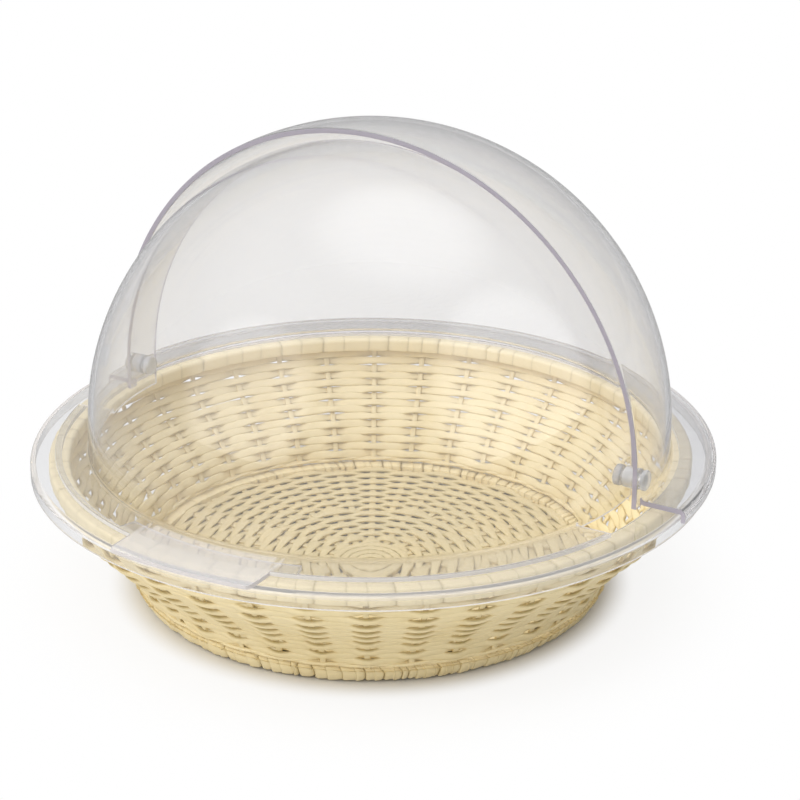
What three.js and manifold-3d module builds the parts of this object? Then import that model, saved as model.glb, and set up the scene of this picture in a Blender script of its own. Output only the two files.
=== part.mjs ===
// Countertop bread display bin: a round woven basket that stands on the counter, and a clear
// roll-top cover on its rim. The cover is a ring, a fixed rear dome and a lid that rolls back
// inside the dome about two pivot pins.
// Millimetres, +Z up. The origin is at the bottom centre of the basket, the lid faces -Y,
// and the pins lie along X.
import * as THREE from 'three';
import { mergeVertices } from 'three/addons/utils/BufferGeometryUtils.js';
import Module from 'manifold-3d';

const wasm = await Module();
wasm.setup();

// Fits: the gap between pieces that rest on each other, and the play of a pin in its hole
const seatGap = 0.3;
const pinPlay = 0.3;

// Basket
const basketHeight = 82;
const rimOuterRadius = 188;
const rimWidth = 13;
const rimDepth = 9;
const rimSkin = 1.5;
const rimOverhang = 0.7;
const rimHoopDiameter = 4;
const stakeCount = 36;
const stakeWidth = 3.6;
const stakeThickness = 1.6;
const weaverCount = 15;
const weaverThickness = 2;
const weaverSpacing = 0.55;
const weaverClearOutside = 1;
const weaverClearInside = 0.75;
const wallSway = 3;
const footOuterRadius = 141.5;
const footBorderWidth = 16.5;
const footBorderHeight = 11;
const footSetback = 2;
const footBulgeShare = 0.7;
const footCurlShare = 0.2;
const baseThickness = 4;
const baseSheetThickness = 1.6;
const baseStrandThickness = 1.6;
const baseHubRadius = 24;
const baseSplitRadius = 72;
const baseRoundCount = 5;
const baseRoundWidth = 9;
const baseRoundSpacing = 20;
const baseHoopWidth = 3;
const baseHoopThickness = 2;

// Cover: ring and fixed rear dome
const ringOverhang = 10.5;
const ringSeatWidth = 8;
const ringThickness = 2.7;
const ringLipDepth = 9.5;
const landingReach = 10;
const landingHalfAngle = 18.5;
const domeSetback = 5;
const sheetThickness = 3;
const domeLipDepth = 8;
const domeFrontReach = 7;
const pivotAboveRing = 16;

// Lid
const lidGap = 7.5;
const lidRearReach = 10;
const lidSeatWidth = 4;
const lidFlangeThickness = 2.5;
const lidFlangeSetback = 45;
const gripHalfWidth = 45;
const gripBow = 2.5;
const gripCorner = 5;

// Pivots
const pinDiameter = 6;
const pinHeadDiameter = 12;
const pinHeadThickness = 2.5;
const capThickness = 3.5;
const capFloor = 1.5;

// Facets
const roundSides = 48;
const domeSteps = 10;
const pinSides = 16;
const wireSides = 6;
const cornerSteps = 6;
const equalWithin = 1e-3;

// Heights and radii worked out from the sizes above
const rimBottom = basketHeight - rimDepth;
const rimRoof = basketHeight - rimSkin;
const rimInnerRadius = rimOuterRadius - rimWidth;
const weaverOutside = stakeThickness / 2 + weaverClearOutside + weaverThickness / 2;
const weaverInside = stakeThickness / 2 + weaverClearInside + weaverThickness / 2;
const wallTopRadius = rimOuterRadius - rimOverhang - weaverOutside - weaverThickness / 2;
const wallFootRadius = footOuterRadius - footSetback;
const hoopBottom = footBorderHeight + seatGap;
const hoopTop = hoopBottom + baseHoopThickness;
const wallFootHeight = hoopTop + weaverThickness / 2 + seatGap;
const wallTopHeight = rimBottom - weaverThickness / 2;
const footInnerRadius = footOuterRadius - footBorderWidth;
const ledgeHeight = footBorderHeight / 2 - seatGap;
const baseRadius = footInnerRadius + footBorderWidth / 2 - seatGap;
const baseBottom = ledgeHeight + seatGap;
const ringBottom = basketHeight + seatGap;
const ringTop = ringBottom + ringThickness;
const ringOuterRadius = rimOuterRadius + ringOverhang;
const ringInnerRadius = rimOuterRadius - ringSeatWidth;
const shellBottom = ringTop + seatGap;
const pivotHeight = ringTop + pivotAboveRing;
const domeRadius = ringInnerRadius - domeSetback;
const domeInnerRadius = domeRadius - sheetThickness;
const domeFlangeRadius = ringOuterRadius + seatGap + ringThickness;
const lidRadius = domeInnerRadius - lidGap;
const lidInnerRadius = lidRadius - sheetThickness;
const lidFlangeRadius = ringInnerRadius + lidSeatWidth;
const holeRadius = pinDiameter / 2 + pinPlay;
const reach = 3 * ringOuterRadius;

const wovenCream = 0xe6d8b4;
const rimCream = 0xe9deb9;
const steelGrey = 0xb9bcc0;
const clearSheet = 0xe4eaee;
const pivotWhite = 0xf2f2f0;

// Closed meshes and solids

function signedVolume(geometry) {
  const place = geometry.attributes.position;
  const index = geometry.index.array;
  const [a, b, c] = [new THREE.Vector3(), new THREE.Vector3(), new THREE.Vector3()];
  let volume = 0;
  for (let i = 0; i < index.length; i += 3) {
    a.fromBufferAttribute(place, index[i]);
    b.fromBufferAttribute(place, index[i + 1]);
    c.fromBufferAttribute(place, index[i + 2]);
    volume += a.dot(b.cross(c)) / 6;
  }
  return volume;
}

// Shares equal vertices, drops the flat triangles at a lathe's poles, and turns all faces out
function closed(source) {
  const geometry = source.index ? source.toNonIndexed() : source.clone();
  geometry.deleteAttribute('normal');
  geometry.deleteAttribute('uv');
  const merged = mergeVertices(geometry, equalWithin);
  const index = [];
  for (let i = 0; i < merged.index.count; i += 3) {
    const [a, b, c] = merged.index.array.slice(i, i + 3);
    if (a !== b && b !== c && c !== a) index.push(a, b, c);
  }
  merged.setIndex(index);
  if (signedVolume(merged) < 0) {
    for (let i = 0; i < index.length; i += 3) [index[i], index[i + 1]] = [index[i + 1], index[i]];
    merged.setIndex(index);
  }
  return merged;
}

function toSolid(source) {
  const geometry = closed(source);
  const vertProperties = new Float32Array(geometry.attributes.position.array);
  const triVerts = new Uint32Array(geometry.index.array);
  return new wasm.Manifold(new wasm.Mesh({ numProp: 3, vertProperties, triVerts }));
}

function fromSolid(solid) {
  const mesh = solid.getMesh();
  const geometry = new THREE.BufferGeometry();
  geometry.setAttribute('position', new THREE.BufferAttribute(mesh.vertProperties, 3));
  geometry.setIndex(new THREE.BufferAttribute(mesh.triVerts, 1));
  return geometry;
}

// A profile of [radius, height] points turned round the Z axis
function turned(points) {
  const profile = points.map(([radius, height]) => new THREE.Vector2(radius, height));
  return new THREE.LatheGeometry(profile, roundSides).rotateX(Math.PI / 2);
}

function turnedRing(points) {
  return turned([...points, points[0]]);
}

// A round plate about the Z axis, between two heights
function disc(radius, low, high) {
  return turned([[0, low], [radius, low], [radius, high], [0, high]]);
}

// A flat plate of the given outline, lying on a height
function plate(outline, thickness, height) {
  const settings = { depth: thickness, bevelEnabled: false, curveSegments: cornerSteps };
  return new THREE.ExtrudeGeometry(outline, settings).translate(0, 0, height);
}

// A band of the plan between two values of Y, as a cutter
function slab(yLow, yHigh) {
  const box = new THREE.BoxGeometry(reach, yHigh - yLow, reach);
  return toSolid(box.translate(0, (yLow + yHigh) / 2, 0));
}

// A round bar along X between two values of X, on the pivot line
function pivotBar(radius, xLow, xHigh) {
  const bar = new THREE.CylinderGeometry(radius, radius, xHigh - xLow, pinSides).rotateZ(Math.PI / 2);
  return bar.translate((xLow + xHigh) / 2, 0, pivotHeight);
}

function pivotHoles(solid) {
  return solid.subtract(toSolid(pivotBar(holeRadius, -reach / 2, reach / 2)));
}

// Joins a list of sections, each a list of corners. Round and round if it is a loop, with two
// flat ends if not.
function lofted(sections, isLoop) {
  const corners = sections[0].length;
  const position = sections.flat().flatMap((corner) => corner.toArray());
  const index = [];
  const joins = isLoop ? sections.length : sections.length - 1;
  for (let s = 0; s < joins; s += 1) {
    const here = s * corners;
    const there = ((s + 1) % sections.length) * corners;
    for (let c = 0; c < corners; c += 1) {
      const next = (c + 1) % corners;
      index.push(here + c, there + c, here + next, here + next, there + c, there + next);
    }
  }
  if (!isLoop) {
    const last = (sections.length - 1) * corners;
    for (let c = 1; c < corners - 1; c += 1) {
      index.push(0, c, c + 1, last, last + c + 1, last + c);
    }
  }
  const geometry = new THREE.BufferGeometry();
  geometry.setAttribute('position', new THREE.Float32BufferAttribute(position, 3));
  geometry.setIndex(index);
  return closed(geometry);
}

// Basket

// The middle of the woven wall from the base hoop to the rim, as radius and height
class WallLine extends THREE.Curve {
  getPoint(share, target = new THREE.Vector2()) {
    const sway = wallSway * Math.sin(2 * Math.PI * share);
    const radius = THREE.MathUtils.lerp(wallFootRadius, wallTopRadius, share) - sway;
    return target.set(radius, THREE.MathUtils.lerp(wallFootHeight, wallTopHeight, share));
  }
}

const wallLine = new WallLine();
const weaverPitch = wallLine.getLength() / weaverCount;

// A place on the wall, in space: along the wall from share, off its middle, and to one side
function wallPlace(angle, share, along, off, aside = 0) {
  const middle = wallLine.getPointAt(share);
  const tangent = wallLine.getTangentAt(share);
  const radius = middle.x + along * tangent.x + off * tangent.y;
  const height = middle.y + along * tangent.y - off * tangent.x;
  const [sin, cos] = [Math.sin(angle), Math.cos(angle)];
  return new THREE.Vector3(radius * cos - aside * sin, radius * sin + aside * cos, height);
}

// One weaver strand, in front of every second stake and behind the others
function weaverStrand(row) {
  const share = (row + 0.5) / weaverCount;
  const halfTall = (weaverPitch - weaverSpacing) / 2;
  const halfThick = weaverThickness / 2;
  const sections = [];
  for (let stake = 0; stake < stakeCount; stake += 1) {
    const angle = (2 * Math.PI * stake) / stakeCount;
    const off = (stake + row) % 2 === 0 ? weaverOutside : -weaverInside;
    sections.push([
      wallPlace(angle, share, -halfTall, off - halfThick),
      wallPlace(angle, share, -halfTall, off + halfThick),
      wallPlace(angle, share, halfTall, off + halfThick),
      wallPlace(angle, share, halfTall, off - halfThick),
    ]);
  }
  return lofted(sections, true);
}

// One upright stake: its foot in the base hoop, along the wall, and its tip up in the rim
function stake(angle) {
  const steps = Math.ceil(weaverCount / 2);
  const halfWide = stakeWidth / 2;
  const halfThick = stakeThickness / 2;
  const footDrop = hoopBottom + baseHoopThickness / 2 - wallFootHeight;
  const tipRise = rimRoof - seatGap - halfThick - wallTopHeight;
  const corners = [
    [-halfThick, -halfWide],
    [halfThick, -halfWide],
    [halfThick, halfWide],
    [-halfThick, halfWide],
  ];
  const section = (share, rise) => corners.map(([off, aside]) => {
    const corner = wallPlace(angle, share, 0, off, aside);
    corner.z += rise;
    return corner;
  });
  const sections = [section(0, footDrop)];
  for (let step = 0; step <= steps; step += 1) sections.push(section(step / steps, 0));
  sections.push(section(1, tipRise));
  return lofted(sections, false);
}

function baseHoop() {
  const inner = wallFootRadius - baseHoopWidth / 2;
  const outer = wallFootRadius + baseHoopWidth / 2;
  return turnedRing([[inner, hoopBottom], [outer, hoopBottom], [outer, hoopTop], [inner, hoopTop]]);
}

function stakesOnHoop() {
  let frame = toSolid(baseHoop());
  for (let i = 0; i < stakeCount; i += 1) {
    frame = frame.add(toSolid(stake((2 * Math.PI * i) / stakeCount)));
  }
  return fromSolid(frame);
}

// The braided border that the basket stands on, with a ledge that carries the base
function footBorder() {
  const bulgeHeight = footBorderHeight * footBulgeShare;
  return turnedRing([
    [footInnerRadius, 0],
    [footInnerRadius + footBorderWidth / 2, 0],
    [footOuterRadius - footBorderWidth * footCurlShare, footBorderHeight * footCurlShare],
    [footOuterRadius, bulgeHeight],
    [wallFootRadius, footBorderHeight],
    [baseRadius + seatGap, footBorderHeight],
    [baseRadius + seatGap, ledgeHeight],
    [footInnerRadius, ledgeHeight],
  ]);
}

// One strand woven round the base, over every second spoke and under the others. Only every
// second spoke runs on inside the split radius.
function baseRound(row) {
  const outer = baseRadius - seatGap - row * baseRoundSpacing;
  const inner = outer - baseRoundWidth;
  const lift = (baseThickness - baseStrandThickness) / 2;
  const spokes = outer > baseSplitRadius ? stakeCount : stakeCount / 2;
  const sections = [];
  for (let spoke = 0; spoke < spokes; spoke += 1) {
    const angle = (2 * Math.PI * spoke) / spokes;
    const low = baseBottom + lift + ((spoke + row) % 2 === 0 ? lift : -lift);
    const corner = (radius, height) => (
      new THREE.Vector3(radius * Math.cos(angle), radius * Math.sin(angle), height)
    );
    sections.push([
      corner(inner, low),
      corner(outer, low),
      corner(outer, low + baseStrandThickness),
      corner(inner, low + baseStrandThickness),
    ]);
  }
  return lofted(sections, true);
}

// The woven bottom: a flat start in the middle, and rounds of strand woven through a thin sheet
function basePanel() {
  const sheetBottom = baseBottom + (baseThickness - baseSheetThickness) / 2;
  const sheet = toSolid(disc(baseRadius, sheetBottom, sheetBottom + baseSheetThickness));
  let panel = sheet.add(toSolid(disc(baseHubRadius, baseBottom, baseBottom + baseThickness)));
  for (let row = 0; row < baseRoundCount; row += 1) panel = panel.add(toSolid(baseRound(row)));
  return fromSolid(panel);
}

// The strand wound round the rim: a channel, open below, over the stakes' tips and the hoop
function rimWrap() {
  return turnedRing([
    [rimInnerRadius, rimBottom],
    [rimInnerRadius + rimSkin, rimBottom],
    [rimInnerRadius + rimSkin, rimRoof],
    [rimOuterRadius - rimSkin, rimRoof],
    [rimOuterRadius - rimSkin, rimBottom],
    [rimOuterRadius, rimBottom],
    [rimOuterRadius, basketHeight],
    [rimInnerRadius, basketHeight],
  ]);
}

// The wire that keeps the rim round, against the stakes' tips and under the wrap
function rimHoop() {
  const wireRadius = rimHoopDiameter / 2;
  const radius = wallTopRadius - stakeThickness / 2 - seatGap - wireRadius;
  const height = rimRoof - seatGap - wireRadius;
  const profile = [];
  for (let i = 0; i < wireSides; i += 1) {
    const turn = (2 * Math.PI * i) / wireSides;
    profile.push([radius + wireRadius * Math.cos(turn), height + wireRadius * Math.sin(turn)]);
  }
  return turnedRing(profile);
}

// Cover

// A hollow dome on the Z axis with an upright skirt below the pivot line
function domeShell(outerRadius) {
  const innerRadius = outerRadius - sheetThickness;
  const arc = (radius, step) => {
    const angle = (Math.PI / 2) * (step / domeSteps);
    return [radius * Math.sin(angle), pivotHeight + radius * Math.cos(angle)];
  };
  const outside = [];
  const inside = [];
  for (let step = 0; step <= domeSteps; step += 1) {
    outside.push(arc(outerRadius, step));
    inside.unshift(arc(innerRadius, step));
  }
  const edge = [[outerRadius, shellBottom], [innerRadius, shellBottom]];
  return toSolid(turned([...outside, ...edge, ...inside]));
}

// The ring under the whole cover: a flat band on the rim with a lip turned down outside it
function flatBand() {
  const lipInner = ringOuterRadius - ringThickness;
  return toSolid(turnedRing([
    [ringInnerRadius, ringBottom],
    [lipInner, ringBottom],
    [lipInner, ringTop - ringLipDepth],
    [ringOuterRadius, ringTop - ringLipDepth],
    [ringOuterRadius, ringTop],
    [ringInnerRadius, ringTop],
  ]));
}

// The tongue at the front of the ring that the lid's grip closes on
function landing() {
  const halfAngle = THREE.MathUtils.degToRad(landingHalfAngle);
  const innerRadius = ringInnerRadius - landingReach;
  const outerRadius = ringInnerRadius + landingReach / 2;
  const outline = new THREE.Shape();
  outline.absarc(0, 0, outerRadius, -Math.PI / 2 - halfAngle, -Math.PI / 2 + halfAngle, false);
  outline.absarc(0, 0, innerRadius, -Math.PI / 2 + halfAngle, -Math.PI / 2 - halfAngle, true);
  return toSolid(plate(outline, ringThickness, ringBottom));
}

function coverRing() {
  return fromSolid(flatBand().add(landing()));
}

// The fixed half: the dome behind the pivot line, and a half flange seated on the ring
function rearDome() {
  const flangeTop = shellBottom + sheetThickness;
  const lipInner = ringOuterRadius + seatGap;
  const flange = toSolid(turnedRing([
    [domeInnerRadius, shellBottom],
    [lipInner, shellBottom],
    [lipInner, flangeTop - domeLipDepth],
    [domeFlangeRadius, flangeTop - domeLipDepth],
    [domeFlangeRadius, flangeTop],
    [domeInnerRadius, flangeTop],
  ]));
  const dome = domeShell(domeRadius).intersect(slab(-domeFrontReach, reach / 2));
  return fromSolid(pivotHoles(dome.add(flange.intersect(slab(0, reach / 2)))));
}

// The grip: a flat tongue at the middle of the lid's front edge
function gripTongue() {
  const side = domeFlangeRadius - gripBow;
  const root = lidInnerRadius - gripBow;
  const inset = gripHalfWidth - gripCorner;
  const outline = new THREE.Shape();
  outline.moveTo(-gripHalfWidth, -root);
  outline.lineTo(-gripHalfWidth, -side + gripCorner);
  outline.quadraticCurveTo(-gripHalfWidth, -side, -inset, -side);
  outline.quadraticCurveTo(0, -domeFlangeRadius - gripBow, inset, -side);
  outline.quadraticCurveTo(gripHalfWidth, -side, gripHalfWidth, -side + gripCorner);
  outline.lineTo(gripHalfWidth, -root);
  return toSolid(plate(outline, lidFlangeThickness, shellBottom));
}

// The rolling half: its dome and skirt, a foot flange that closes on the ring, and the grip
function lidShell() {
  const flangeTop = shellBottom + lidFlangeThickness;
  const flange = toSolid(turnedRing([
    [lidInnerRadius, shellBottom],
    [lidFlangeRadius, shellBottom],
    [lidFlangeRadius, flangeTop],
    [lidInnerRadius, flangeTop],
  ]));
  const grip = gripTongue().subtract(toSolid(disc(lidInnerRadius, 0, pivotHeight)));
  const foot = flange.add(grip).intersect(slab(-reach / 2, -lidFlangeSetback));
  const dome = domeShell(lidRadius).intersect(slab(-reach / 2, lidRearReach));
  return fromSolid(pivotHoles(dome.add(foot)));
}

// Pivots, on the right; the left ones are turned half round

function pivotPin() {
  const headInner = domeRadius + seatGap;
  const tip = lidInnerRadius - seatGap - capThickness + capFloor;
  const head = toSolid(pivotBar(pinHeadDiameter / 2, headInner, headInner + pinHeadThickness));
  const shank = toSolid(pivotBar(pinDiameter / 2, tip, headInner + pinHeadThickness / 2));
  return fromSolid(head.add(shank));
}

function pivotSpacer() {
  const sleeve = pivotBar(pinHeadDiameter / 2, lidRadius + seatGap, domeInnerRadius - 2 * seatGap);
  return fromSolid(pivotHoles(toSolid(sleeve)));
}

function pivotCap() {
  const outer = lidInnerRadius - 2 * seatGap;
  const inner = outer - capThickness;
  const blind = toSolid(pivotBar(holeRadius, inner + capFloor, outer + capThickness));
  return fromSolid(toSolid(pivotBar(pinHeadDiameter / 2, inner, outer)).subtract(blind));
}

// The assembly

const group = new THREE.Group();

function addPiece(name, geometry, look) {
  const mesh = new THREE.Mesh(geometry, new THREE.MeshStandardMaterial(look));
  mesh.name = name;
  group.add(mesh);
  return mesh;
}

const woven = { color: wovenCream, roughness: 0.6, metalness: 0 };
const wrapped = { color: rimCream, roughness: 0.55, metalness: 0 };
const steel = { color: steelGrey, roughness: 0.35, metalness: 1 };
const clear = { color: clearSheet, roughness: 0.06, metalness: 0, transparent: true, opacity: 0.4 };
const moulded = { color: pivotWhite, roughness: 0.3, metalness: 0 };

addPiece('basket_foot_border', closed(footBorder()), woven);
addPiece('basket_base_panel', basePanel(), woven);
addPiece('basket_stakes', stakesOnHoop(), woven);
for (let row = 0; row < weaverCount; row += 1) {
  addPiece(`basket_weaver_${String(row + 1).padStart(2, '0')}`, weaverStrand(row), woven);
}
addPiece('basket_rim_hoop', closed(rimHoop()), steel);
addPiece('basket_rim_wrap', closed(rimWrap()), wrapped);
addPiece('cover_ring', coverRing(), clear);
addPiece('cover_rear_dome', rearDome(), clear);
addPiece('lid_shell', lidShell(), clear);
for (const [side, turn] of [['right', 0], ['left', Math.PI]]) {
  addPiece(`pivot_pin_${side}`, pivotPin(), moulded).rotation.z = turn;
  addPiece(`pivot_spacer_${side}`, pivotSpacer(), moulded).rotation.z = turn;
  addPiece(`pivot_cap_${side}`, pivotCap(), moulded).rotation.z = turn;
}

export default group;
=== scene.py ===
"""The looks of a countertop bread display bin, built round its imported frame: a round basket of
woven cream strand, and a clear roll-top cover on its rim."""

import functools
import math
import random

import bmesh
import bpy
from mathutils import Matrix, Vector


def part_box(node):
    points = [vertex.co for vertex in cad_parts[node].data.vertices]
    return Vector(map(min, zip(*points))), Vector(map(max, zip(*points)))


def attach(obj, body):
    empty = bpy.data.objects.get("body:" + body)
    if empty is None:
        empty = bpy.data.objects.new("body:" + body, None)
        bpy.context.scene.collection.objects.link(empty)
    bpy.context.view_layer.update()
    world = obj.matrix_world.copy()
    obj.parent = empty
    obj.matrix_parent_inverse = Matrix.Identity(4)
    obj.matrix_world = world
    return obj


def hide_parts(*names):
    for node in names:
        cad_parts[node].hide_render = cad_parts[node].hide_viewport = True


bl_info = {
    "name": "Countertop bread display bin",
    "version": (1, 0, 0),
    "blender": (4, 5, 0),
    "location": "View3D > Sidebar > Bread bin",
    "description": "Weaves the basket, forms the clear roll-top cover and sets the stage",
    "category": "Object",
}

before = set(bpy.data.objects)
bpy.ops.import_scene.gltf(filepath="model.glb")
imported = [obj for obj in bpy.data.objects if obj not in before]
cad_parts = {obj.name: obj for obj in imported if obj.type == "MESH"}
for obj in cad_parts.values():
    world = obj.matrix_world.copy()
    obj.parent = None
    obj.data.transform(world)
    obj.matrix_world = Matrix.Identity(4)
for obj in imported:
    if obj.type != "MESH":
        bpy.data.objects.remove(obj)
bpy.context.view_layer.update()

MM = 0.001
TURN = 2 * math.pi
SHARP = math.radians(50)
WEAVERS = sorted(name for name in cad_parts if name.startswith("basket_weaver_"))


# Sizes and colours


def length(name, description, default):
    return bpy.props.FloatProperty(
        name=name, description=description, default=default, min=0,
        subtype="DISTANCE", unit="LENGTH",
    )


def tint(name, description, default):
    return bpy.props.FloatVectorProperty(
        name=name, description=description, default=default, min=0, max=1, subtype="COLOR"
    )


def number(name, description, default):
    return bpy.props.IntProperty(name=name, description=description, default=default, min=8)


def level(name, description, default):
    return bpy.props.FloatProperty(name=name, description=description, default=default, min=0)


def angle(name, description, default):
    return bpy.props.FloatProperty(
        name=name, description=description, default=default, subtype="ANGLE", unit="ROTATION"
    )


class BasketSizes(bpy.types.PropertyGroup):
    stakes: number("Stakes", "Upright stakes round the wall", 36)
    spokes: number("Spokes", "Spokes that reach the middle of the base", 18)
    strand_tall: length("Strand height", "Height of a strand between two stakes", 5.5 * MM)
    strand_squeezed: length("Squeezed height", "Its height where it bends round a stake", 4.4 * MM)
    strand_shift: length("Strand shift", "Its slide, up before a stake and down behind it", 0.5 * MM)
    strand_thick: length("Strand thickness", "Thickness of a strand at its middle", 2.2 * MM)
    weave_depth: length("Weave depth", "How far it passes in front of the wall's middle", 1.75 * MM)
    stake_wide: length("Stake width", "Width of an upright stake", 3.2 * MM)
    stake_thick: length("Stake thickness", "Thickness of an upright stake", 1.5 * MM)
    rim_wide: length("Rim width", "Width of the wound rim", 13 * MM)
    rim_deep: length("Rim depth", "Depth of the wound rim", 9 * MM)
    rim_turns: number("Rim turns", "Turns of the strand wound on the rim", 84)
    foot_turns: number("Foot turns", "Strand ends folded round the foot", 150)


class CoverSizes(bpy.types.PropertyGroup):
    sheet: length("Sheet", "Thickness of the clear domes", 3 * MM)
    thin_sheet: length("Thin sheet", "Thickness of the ring and of the lips", 2.7 * MM)
    lid_flange: length("Lid flange", "Thickness of the lid's flange and grip", 2.5 * MM)
    dome_radius: length("Dome radius", "Outside radius of the fixed dome", 175 * MM)
    lid_radius: length("Lid radius", "Outside radius of the lid", 164.5 * MM)
    pivot_height: length("Pivot height", "Height of the pivot line over the counter", 101 * MM)
    ring_hole: length("Ring hole", "Radius of the hole in the ring", 180 * MM)
    landing_hole: length("Landing", "Radius of the ring's tongue at the front", 170 * MM)
    lid_reach: length("Lid flange reach", "Radius of the lid's flange", 184 * MM)
    grip_half: length("Grip half width", "Half the width of the grip", 45 * MM)
    bend: length("Bend", "Radius of the bends in the clear sheet", 3.2 * MM)
    edge_round: length("Edge rounding", "Rounding of the cut edges", 0.35 * MM)


class Finishes(bpy.types.PropertyGroup):
    cream: tint("Cream", "The strand's colour", (0.85, 0.73, 0.45))
    # Painted shade: a darker copy of the cream for the base, in place of the shade that falls on it.
    shaded: tint("Base", "The base strand's colour", (0.71, 0.60, 0.35))
    honey: tint("Honey", "The strand's darker patches", (0.77, 0.63, 0.34))
    pale: tint("Pale", "The rim strand's colour", (0.845, 0.735, 0.475))
    # Painted shade: the colour that the gaps between strands and turns are darkened towards.
    gap_shade: tint("Recess", "The strand's colour in the gaps between strands", (0.36, 0.27, 0.09))
    clear: tint("Clear", "What one clear sheet lets through", (0.915, 0.917, 0.922))
    edge: tint("Edge", "The tint that builds up along the clear sheet", (0.45, 0.40, 0.60))
    # Painted light and shade on the frosted cut faces: the cut tone is the shaded one, the lip tone
    # the lit one.
    cut: tint("Cut edge", "The frosted faces where the domes were cut", (0.47, 0.44, 0.52))
    lip: tint("Lip edge", "The frosted faces round the ring and the flanges", (0.86, 0.83, 0.79))
    milky: tint("Milky", "The pivots' colour", (0.97, 0.97, 0.97))
    steel: tint("Steel", "The rim wire's colour", (0.60, 0.61, 0.63))
    ground: tint("Floor", "The floor's colour", (0.74, 0.725, 0.70))


class StageSettings(bpy.types.PropertyGroup):
    azimuth: angle("Azimuth", "Turn of the camera round the bin", 0.535)
    elevation: angle("Elevation", "Rise of the camera", 0.395)
    distance: length("Distance", "From the camera to the bin", 1.5)
    lens: level("Lens", "Focal length in millimetres", 115.77)
    key_power: level("Key light", "Watts of the lamp at the front left", 5.0)
    room: level("Room", "Level of the light from all round", 0.39)
    overhead: level("Overhead", "Level of the soft light from above", 0.36)
    side: level("Side", "Level of the soft light from the front left", 1.3)
    gleam: level("Gleam", "Level of the soft light that the cover mirrors", 2.1)
    panels: level("Panels", "Level of the two pale panels that the lid mirrors", 1.15)
    backdrop: level("Backdrop", "Level of the walls that the cover mirrors", 0.6)


# Pieces, made by hand


def let_go():
    """Leaves edit mode and deselects everything."""
    if bpy.context.object and bpy.context.object.mode != "OBJECT":
        bpy.ops.object.mode_set(mode="OBJECT")
    bpy.ops.object.select_all(action="DESELECT")


def choose(piece):
    """Selects one piece and nothing else."""
    let_go()
    piece.select_set(True)
    bpy.context.view_layer.objects.active = piece


def named(name):
    piece = bpy.context.object
    piece.name = name
    piece.data.name = name
    return piece


class Editing:
    """Edit mode on one piece, with elements picked by their place."""

    def __init__(self, piece):
        self.piece = piece

    def __enter__(self):
        choose(self.piece)
        bpy.ops.object.mode_set(mode="EDIT")
        bpy.ops.mesh.select_all(action="DESELECT")
        return self

    def __exit__(self, *problem):
        bpy.ops.object.mode_set(mode="OBJECT")

    def pick(self, kind, test, border_only=False):
        """Selects the edges or faces whose corners all pass the test."""
        bpy.ops.mesh.select_mode(type=kind)
        bpy.ops.mesh.select_all(action="DESELECT")
        mesh = bmesh.from_edit_mesh(self.piece.data)
        for element in mesh.edges if kind == "EDGE" else mesh.faces:
            fits = all(test(corner.co) for corner in element.verts)
            element.select_set(fits and (not border_only or element.is_boundary))
        mesh.select_flush_mode()
        bmesh.update_edit_mesh(self.piece.data)

    def pick_border(self, test):
        """Selects the open edges whose corners all pass the test."""
        self.pick("EDGE", test, border_only=True)

    def pick_all(self):
        bpy.ops.mesh.select_all(action="SELECT")

    def cut(self, point, normal, drop_behind=False):
        bpy.ops.mesh.bisect(
            plane_co=point, plane_no=normal, clear_inner=drop_behind, threshold=1e-6
        )

    def drop_faces(self, test):
        """Deletes faces, and leaves the edges that they share with others."""
        self.pick("FACE", test)
        bpy.ops.mesh.delete(type="FACE")

    def draw_out(self, shift=(0, 0, 0), spread=1.0):
        """Extrudes what is selected, moves it, and spreads it from the middle line."""
        bpy.ops.mesh.extrude_region_move(TRANSFORM_OT_translate={"value": shift})
        if spread != 1:
            bpy.ops.transform.resize(value=(spread, spread, 1), center_override=(0, 0, 0))

    def faces_out(self):
        bpy.ops.mesh.select_mode(type="FACE")
        self.pick_all()
        bpy.ops.mesh.remove_doubles(threshold=1e-6)
        bpy.ops.mesh.normals_make_consistent(inside=False)


def modify(piece, kind, **settings):
    """Adds one modifier and applies it."""
    choose(piece)
    modifier = piece.modifiers.new(kind.title(), kind)
    for name, value in settings.items():
        setattr(modifier, name, value)
    bpy.ops.object.modifier_apply(modifier=modifier.name)


def settle(piece):
    """Applies the object's place and turn to its mesh."""
    choose(piece)
    bpy.ops.object.transform_apply(location=True, rotation=True, scale=True)


def smooth(piece, degrees=35):
    choose(piece)
    bpy.ops.object.shade_smooth_by_angle(angle=math.radians(degrees))


def smooth_sheet(piece):
    """Smooth shading that keeps the wide faces beside a bend flat."""
    smooth(piece)
    modify(piece, "WEIGHTED_NORMAL", mode="FACE_AREA", weight=50, keep_sharp=True)


def join(pieces, name):
    let_go()
    for piece in pieces:
        piece.select_set(True)
    bpy.context.view_layer.objects.active = pieces[0]
    if len(pieces) > 1:
        bpy.ops.object.join()
    return named(name)


def copies_round(piece, count):
    """Copies a piece's mesh round the middle line until there are count of it."""
    with Editing(piece) as edit:
        edit.pick_all()
        bpy.ops.mesh.spin(
            steps=count - 1, dupli=True, angle=TURN * (count - 1) / count,
            center=(0, 0, 0), axis=(0, 0, 1),
        )


def turned(piece, turn):
    """Turns a piece's mesh about the middle line."""
    with Editing(piece) as edit:
        edit.pick_all()
        bpy.ops.transform.rotate(value=turn, orient_axis="Z", center_override=(0, 0, 0))


def coat(piece, finish):
    piece.data.materials.clear()
    piece.data.materials.append(finish_called(finish))


def finished(piece, body, slot, node, finish=None):
    """Gives a piece its finish, the slot's own if no other is named, and its place in the frame."""
    coat(piece, finish or slot)
    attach(piece, body)
    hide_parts(node)


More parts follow.
